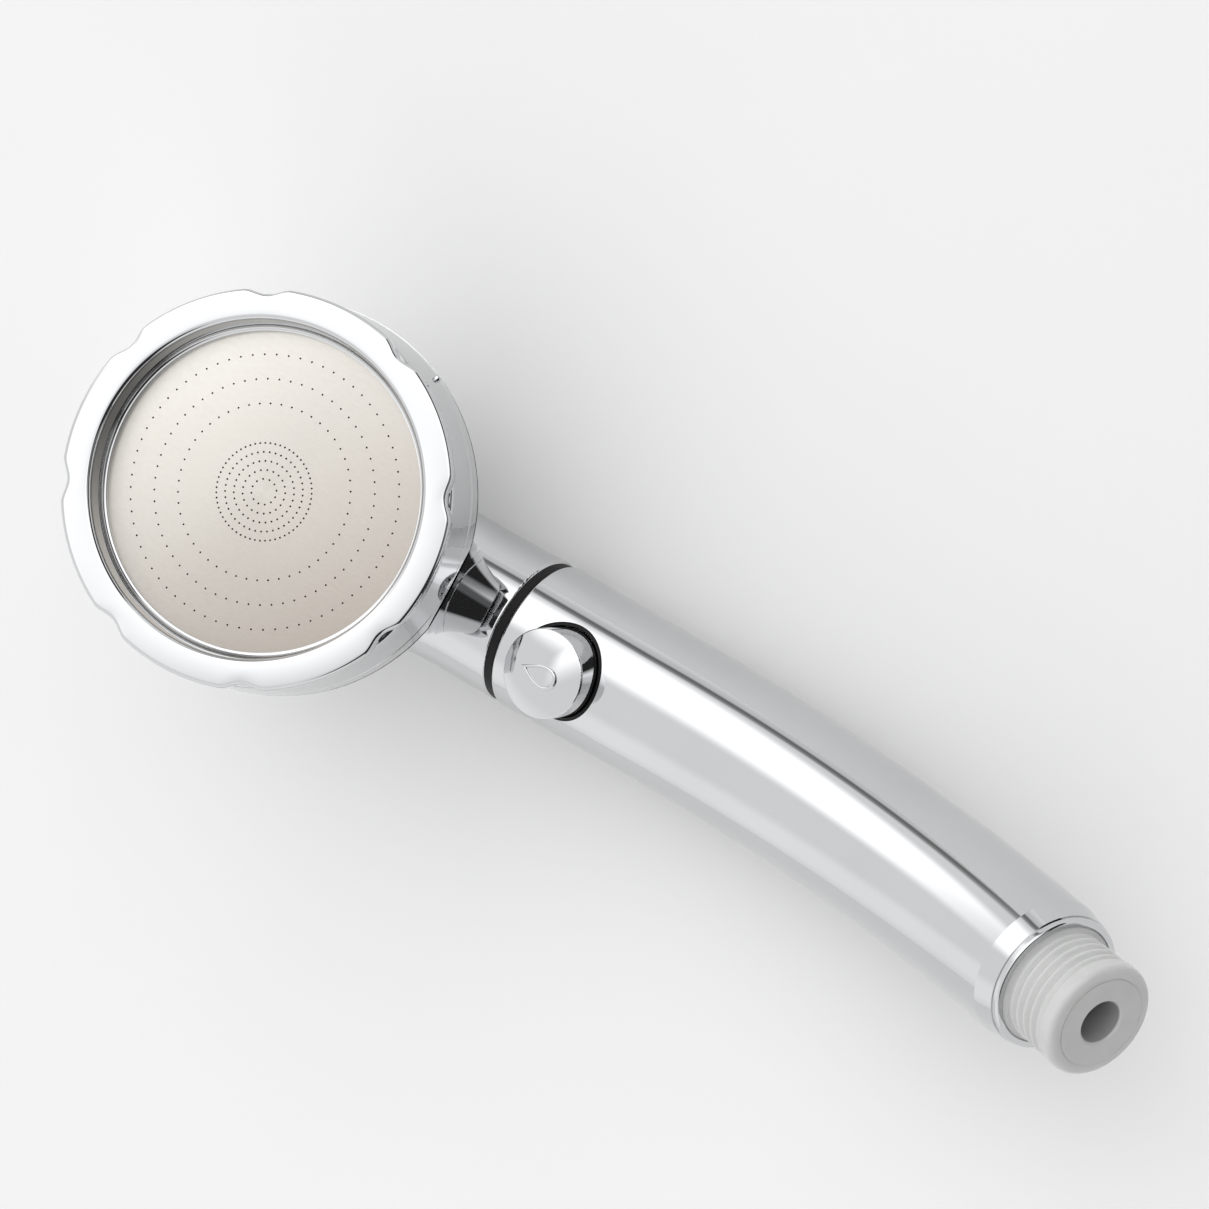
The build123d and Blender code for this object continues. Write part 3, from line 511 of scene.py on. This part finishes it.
def bezel_radius(angle):
    """Outer radius of the bezel: a circle with eight soft dips."""
    pitch = 2 * math.pi / SCALLOPS
    off = (angle - SCALLOP_START + pitch / 2) % pitch - pitch / 2
    share = min(1.0, abs(off) / SCALLOP_HALF)
    return BEZEL_R - SCALLOP_DEPTH * (0.5 + 0.5 * math.cos(math.pi * share)) ** 0.85


def bezel_rows():
    rows = [(SEAT_H, SEAT_R), (SEAT_H, 31.92), (3.5, 32.15), (FRONT_H - MOUTH_ROUND, MOUTH_R)]
    front_r = MOUTH_R + MOUTH_ROUND
    rows += arc(front_r, FRONT_H - MOUTH_ROUND, MOUTH_ROUND, 168, 90, 9)
    for i in range(1, 11):
        t = i / 11
        lift = FRONT_CROWN * t * (1 - t)
        rows.append((
            FRONT_H + lift,
            lambda a, t=t: front_r + (bezel_radius(a) - EDGE_ROUND - front_r) * t,
        ))
    for i in range(13):
        t = QUARTER * i / 12
        drop = EDGE_ROUND * (1 - math.cos(t))
        inset = EDGE_ROUND * (1 - math.sin(t))
        rows.append((FRONT_H - drop, lambda a, d=inset: bezel_radius(a) - d))
    for height, inset in ((4.25, 0.0), (4.08, 0.08), (4.0, 0.25)):
        rows.append((height, lambda a, d=inset: bezel_radius(a) - d))
    rows += [(4.0, SKIRT_R), (-4.6, SKIRT_R), (-4.6, SEAT_R)]
    return rows[::-1]


bezel = turned_grid("bezel_front", PLATE, FACE_NORMAL, ACROSS, bezel_rows(), 720, chrome, 30.0)
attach(bezel, "face")
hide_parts("bezel_ring")


# Coved chrome lip at the foot of the bezel's mouth, over the gasket's edge

LIP_R = 31.05
COVE_R = 0.83
COVE_H = 2.25


def lip_rows():
    rows = [(0.02, LIP_R), (0.02, 31.28), (1.22, 31.28), (1.22, 31.88), (2.33, 31.99)]
    for i in range(13):
        t = QUARTER * i / 12
        rows.append((COVE_H - COVE_R * math.sin(t), LIP_R + 0.07 + COVE_R * math.cos(t)))
    rows += [(1.39, LIP_R + 0.03), (1.34, LIP_R + 0.005), (1.26, LIP_R)]
    return rows


lip = turned_grid("mouth_lip", PLATE, FACE_NORMAL, ACROSS, lip_rows(), 256, chrome, 25.0)
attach(lip, "face")


# Water drop sign in low relief on the stop button's crown

BUTTON = Vector((SWIVEL.x + 14.8 * MM, SWIVEL.y, SWIVEL.z))
BUTTON_R = 8.65
CROWN_H = 1.6
CROWN_R = (BUTTON_R**2 + CROWN_H**2) / (2 * CROWN_H)
CROWN_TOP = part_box("stop_button")[1].z
DROP_HALF_LENGTH = 4.1
DROP_HALF_WIDTH = 3.1
DROP_CENTRE = 0.7
DROP_POINTS = 96
# The ridge's section: share of the drop's outline, height over the crown
RIDGE_SECTION = [
    (0.74, -0.12), (0.74, 0.14), (0.77, 0.32), (0.82, 0.40),
    (0.92, 0.40), (0.97, 0.32), (1.0, 0.14), (1.0, -0.12),
]


def crown_z(x, y):
    return CROWN_TOP / MM - CROWN_R + math.sqrt(CROWN_R**2 - x * x - y * y)


def drop_sign():
    """Closed ridge along the drop's outline, rounded on top and sunk a little into the crown."""
    outline = []
    for i in range(DROP_POINTS):
        t = 2 * math.pi * i / DROP_POINTS
        half = DROP_HALF_WIDTH * math.sin(t) * math.sin(t / 2) ** 1.25
        outline.append((-DROP_HALF_LENGTH * math.cos(t), half))
    verts = []
    for scale, lift in RIDGE_SECTION:
        for x, y in outline:
            px, py = DROP_CENTRE + (x - DROP_CENTRE) * scale, y * scale
            z = (crown_z(px, py) + lift) * MM
            verts.append((BUTTON.x + px * MM, BUTTON.y + py * MM, z))
    faces = loop_faces(len(RIDGE_SECTION), DROP_POINTS)
    return mesh_object("button_sign", verts, faces, chrome, 40.0)


sign = drop_sign()
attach(sign, "spool")


# Stage: pale floor just under the object, soft studio surround

FLOOR_Z = cad_low.z - 0.0002
FLOOR_HALF = 6.0


def make_floor():
    mat, tree, shader = new_material("floor")
    fac = noise(tree, coords(tree), 6.0)
    tint = ramp(tree, fac, (0.79, 0.79, 0.79), (0.81, 0.81, 0.81))
    tree.links.new(tint, shader.inputs["Base Color"])
    shader.inputs["Roughness"].default_value = 0.9
    shader.inputs["Specular IOR Level"].default_value = 0.1
    corners = ((-1, -1), (1, -1), (1, 1), (-1, 1))
    verts = [(FLOOR_HALF * x, FLOOR_HALF * y, FLOOR_Z) for x, y in corners]
    floor = mesh_object("floor", verts, [(0, 1, 2, 3)], mat)


make_floor()

BASE_LIGHT = 1.02
LEAST_LIGHT = 0.04


def make_world():
    """Light by direction: long softbox, bright overhead, and dark flags that draw the chrome."""
    world = bpy.data.worlds.new("studio")
    bpy.context.scene.world = world
    world.use_nodes = True
    tree = world.node_tree
    tree.nodes.clear()
    out = add(tree, "ShaderNodeOutputWorld")
    back = add(tree, "ShaderNodeBackground")
    tex = add(tree, "ShaderNodeTexCoord")
    split = add(tree, "ShaderNodeSeparateXYZ")
    tree.links.new(tex.outputs["Generated"], split.inputs[0])
    x, y, z = split.outputs
    rad = math.radians

    def calc(op, *values):
        return math_in(tree, op, *values)

    def smooth(value, low, high):
        return smooth_in(tree, value, low, high)

    def product(first, *others):
        for other in others:
            first = calc("MULTIPLY", first, other)
        return first

    turn = calc("ARCTAN2", y, z)
    softbox = product(
        smooth(turn, rad(4), rad(26)), smooth(turn, rad(70), rad(54)), smooth(x, -1.0, -0.72)
    )
    overhead = product(
        smooth(z, 0.70, 0.90), smooth(x, -0.36, -0.14),
        smooth(calc("SUBTRACT", y, x), -0.25, 0.35), 0.85,
    )
    white = calc("MAXIMUM", softbox, overhead)
    fill = product(smooth(turn, rad(-40), rad(-60)), smooth(turn, rad(-95), rad(-75)))
    line = calc("SUBTRACT", z, calc("MULTIPLY_ADD", x, 0.69, 0.55))
    far_side = smooth(y, 0.5, 0.75)
    thin_flag = product(smooth(calc("ABSOLUTE", line), 0.10, 0.02), far_side)
    grey_flag = product(smooth(line, -0.28, -0.12), smooth(line, 0.02, -0.06), far_side)
    tail_flag = product(
        smooth(x, 0.42, 0.66), smooth(z, 0.92, 0.74),
        smooth(y, -0.62, -0.40), smooth(y, 0.66, 0.40),
    )
    edge_flag = product(smooth(x, 0.15, 0.35), smooth(y, 0.25, 0.42), smooth(z, 0.66, 0.44), 0.86)
    dark = calc("MAXIMUM", tail_flag, edge_flag)
    light = calc("ADD", white, BASE_LIGHT)
    terms = ((fill, 0.17), (thin_flag, -0.72), (grey_flag, -0.22), (dark, -1.8))
    for term, amount in terms:
        light = calc("MULTIPLY_ADD", term, amount, light)
    light = calc("MAXIMUM", light, LEAST_LIGHT)
    tree.links.new(light, back.inputs["Strength"])
    back.inputs["Color"].default_value = (1.0, 1.0, 1.0, 1.0)
    tree.links.new(back.outputs[0], out.inputs["Surface"])


make_world()


# Camera at the photograph's viewing angle

CAMERA_PLACE = Vector((0.09768, 0.13569, 0.41553))
CAMERA_RIGHT = Vector((0.7899, 0.3697, -0.4893))
CAMERA_BACK = Vector((0.4257, 0.2438, 0.8714))
FOCAL_PX = 2600
PHOTO_PX = 1209
SENSOR_MM = 36.0


def make_camera():
    data = bpy.data.cameras.new("camera")
    cam = bpy.data.objects.new("camera", data)
    bpy.context.scene.collection.objects.link(cam)
    back = CAMERA_BACK.normalized()
    up = back.cross(CAMERA_RIGHT.normalized()).normalized()
    turn = Matrix((up.cross(back), up, back)).transposed().to_4x4()
    cam.matrix_world = Matrix.Translation(CAMERA_PLACE) @ turn
    data.sensor_width = SENSOR_MM
    data.sensor_fit = "HORIZONTAL"
    data.lens = FOCAL_PX / PHOTO_PX * SENSOR_MM
    data.clip_start = 0.01
    data.clip_end = 50.0
    bpy.context.scene.camera = cam


make_camera()
bpy.context.scene.view_settings.view_transform = "Standard"
